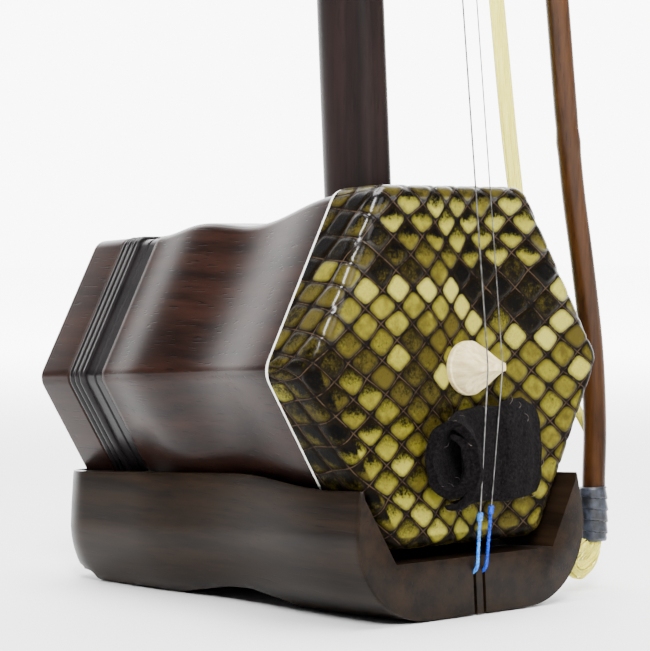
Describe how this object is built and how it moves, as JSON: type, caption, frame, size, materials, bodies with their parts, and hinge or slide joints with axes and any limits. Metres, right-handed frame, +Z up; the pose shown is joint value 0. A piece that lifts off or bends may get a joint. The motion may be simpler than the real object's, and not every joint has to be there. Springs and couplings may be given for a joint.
{
  "type": "erhu",
  "caption": "Two-string bowed fiddle with a hexagonal wavy body, snakeskin face, cradle base, round-backed neck, tuning pegs and a horsehair bow threaded between the strings.",
  "frame": {"origin": "middle of the cradle's front foot, on the ground plane, in the instrument's middle plane", "axes": "+Z up from the ground; +Y from the skin towards the sound window; +X to the right of someone who looks at the skin. The instrument leans back 3.3 degrees as it stands."},
  "size_m": [0.1205, 0.1627, 0.7921],
  "materials": {
    "body_wood": "oiled dark rosewood staves, satin",
    "black_wood": "black-brown hardwood, satin lacquer",
    "neck_wood": "dark rosewood neck, polished",
    "base_wood": "dark rosewood cradle, oiled",
    "window_wood": "pierced rosewood, matt",
    "snakeskin": "python skin with raised scales, lacquered",
    "white_trim": "bone-white trim",
    "maple": "bare pale maple",
    "felt": "black wool felt",
    "steel": "steel string and screw",
    "brass": "brass fittings",
    "silk_light": "light blue silk wrap",
    "silk_dark": "deep blue silk wrap",
    "red_cord": "twisted red cord",
    "bamboo": "stained bamboo, varnished",
    "horsehair": "cream horsehair",
    "tape": "dark grey cloth tape",
    "grip": "black leather grip"
  },
  "bodies": {
    "instrument": {"stave_top": "body_wood", "stave_upper_left": "body_wood", "stave_lower_left": "body_wood", "stave_bottom": "body_wood", "stave_lower_right": "body_wood", "stave_upper_right": "body_wood", "bead_ring": "black_wood", "rear_collar": "body_wood", "sound_window": "window_wood", "snakeskin": "snakeskin", "skin_lining": "white_trim", "bridge": "maple", "felt_damper": "felt", "neck": "neck_wood", "head": "neck_wood", "head_inlay": "white_trim", "head_cap": "white_trim", "neck_band": "white_trim", "base": "base_wood", "base_pad": "base_wood", "base_bolt": "steel", "foot_plug": "base_wood", "tail_pin": "brass", "string_inner": "steel", "string_outer": "steel", "silk_inner": "silk_light", "silk_outer": "silk_dark"},
    "peg_upper_turning": {"peg_upper": "black_wood", "peg_cap_upper": "white_trim", "winding_upper": "steel"},
    "peg_lower_turning": {"peg_lower": "black_wood", "peg_cap_lower": "white_trim", "winding_lower": "steel"},
    "string_loop": {"qianjin": "red_cord"},
    "bow": {"bow_stick": "bamboo", "bow_hair": "horsehair", "tip_wrap": "tape", "hair_tuft": "horsehair", "grip_wrap": "grip"},
    "bow_frog": {"frog": "black_wood", "frog_ferrule": "steel", "frog_eyelet": "brass"},
    "tension_screw": {"bow_screw": "steel", "screw_button": "white_trim"}
  },
  "joints": [
    {"name": "peg_upper_turn", "type": "hinge", "parent": "instrument", "child": "peg_upper_turning", "pos_m": [0, 0.05976, 0.6889], "axis": [0, 0.9983, -0.0576], "continuous": true},
    {"name": "peg_lower_turn", "type": "hinge", "parent": "instrument", "child": "peg_lower_turning", "pos_m": [0, 0.05486, 0.60404], "axis": [0, 0.9983, -0.0576], "continuous": true},
    {"name": "loop_slide", "type": "slide", "parent": "instrument", "child": "string_loop", "axis": [0, 0.0576, 0.9983], "range_m": [-0.006, 0.02]},
    {"name": "bow_draw", "type": "slide", "parent": "instrument", "child": "bow", "axis": [-0.1528, -0.0092, 0.9882], "range_m": [0, 0.025]},
    {"name": "screw_turn", "type": "hinge", "parent": "bow", "child": "tension_screw", "pos_m": [-0.03699, -0.00965, 0.74247], "axis": [-0.1447, -0.0178, 0.9893], "range_deg": [0, 1440]},
    {"name": "frog_slide", "type": "slide", "parent": "bow", "child": "bow_frog", "axis": [-0.1447, -0.0178, 0.9893], "range_m": [0, 0.0028]}
  ],
  "couplings": [
    {"joint": "screw_turn", "follows": "frog_slide", "rad_per_m": 8975.9}
  ]
}
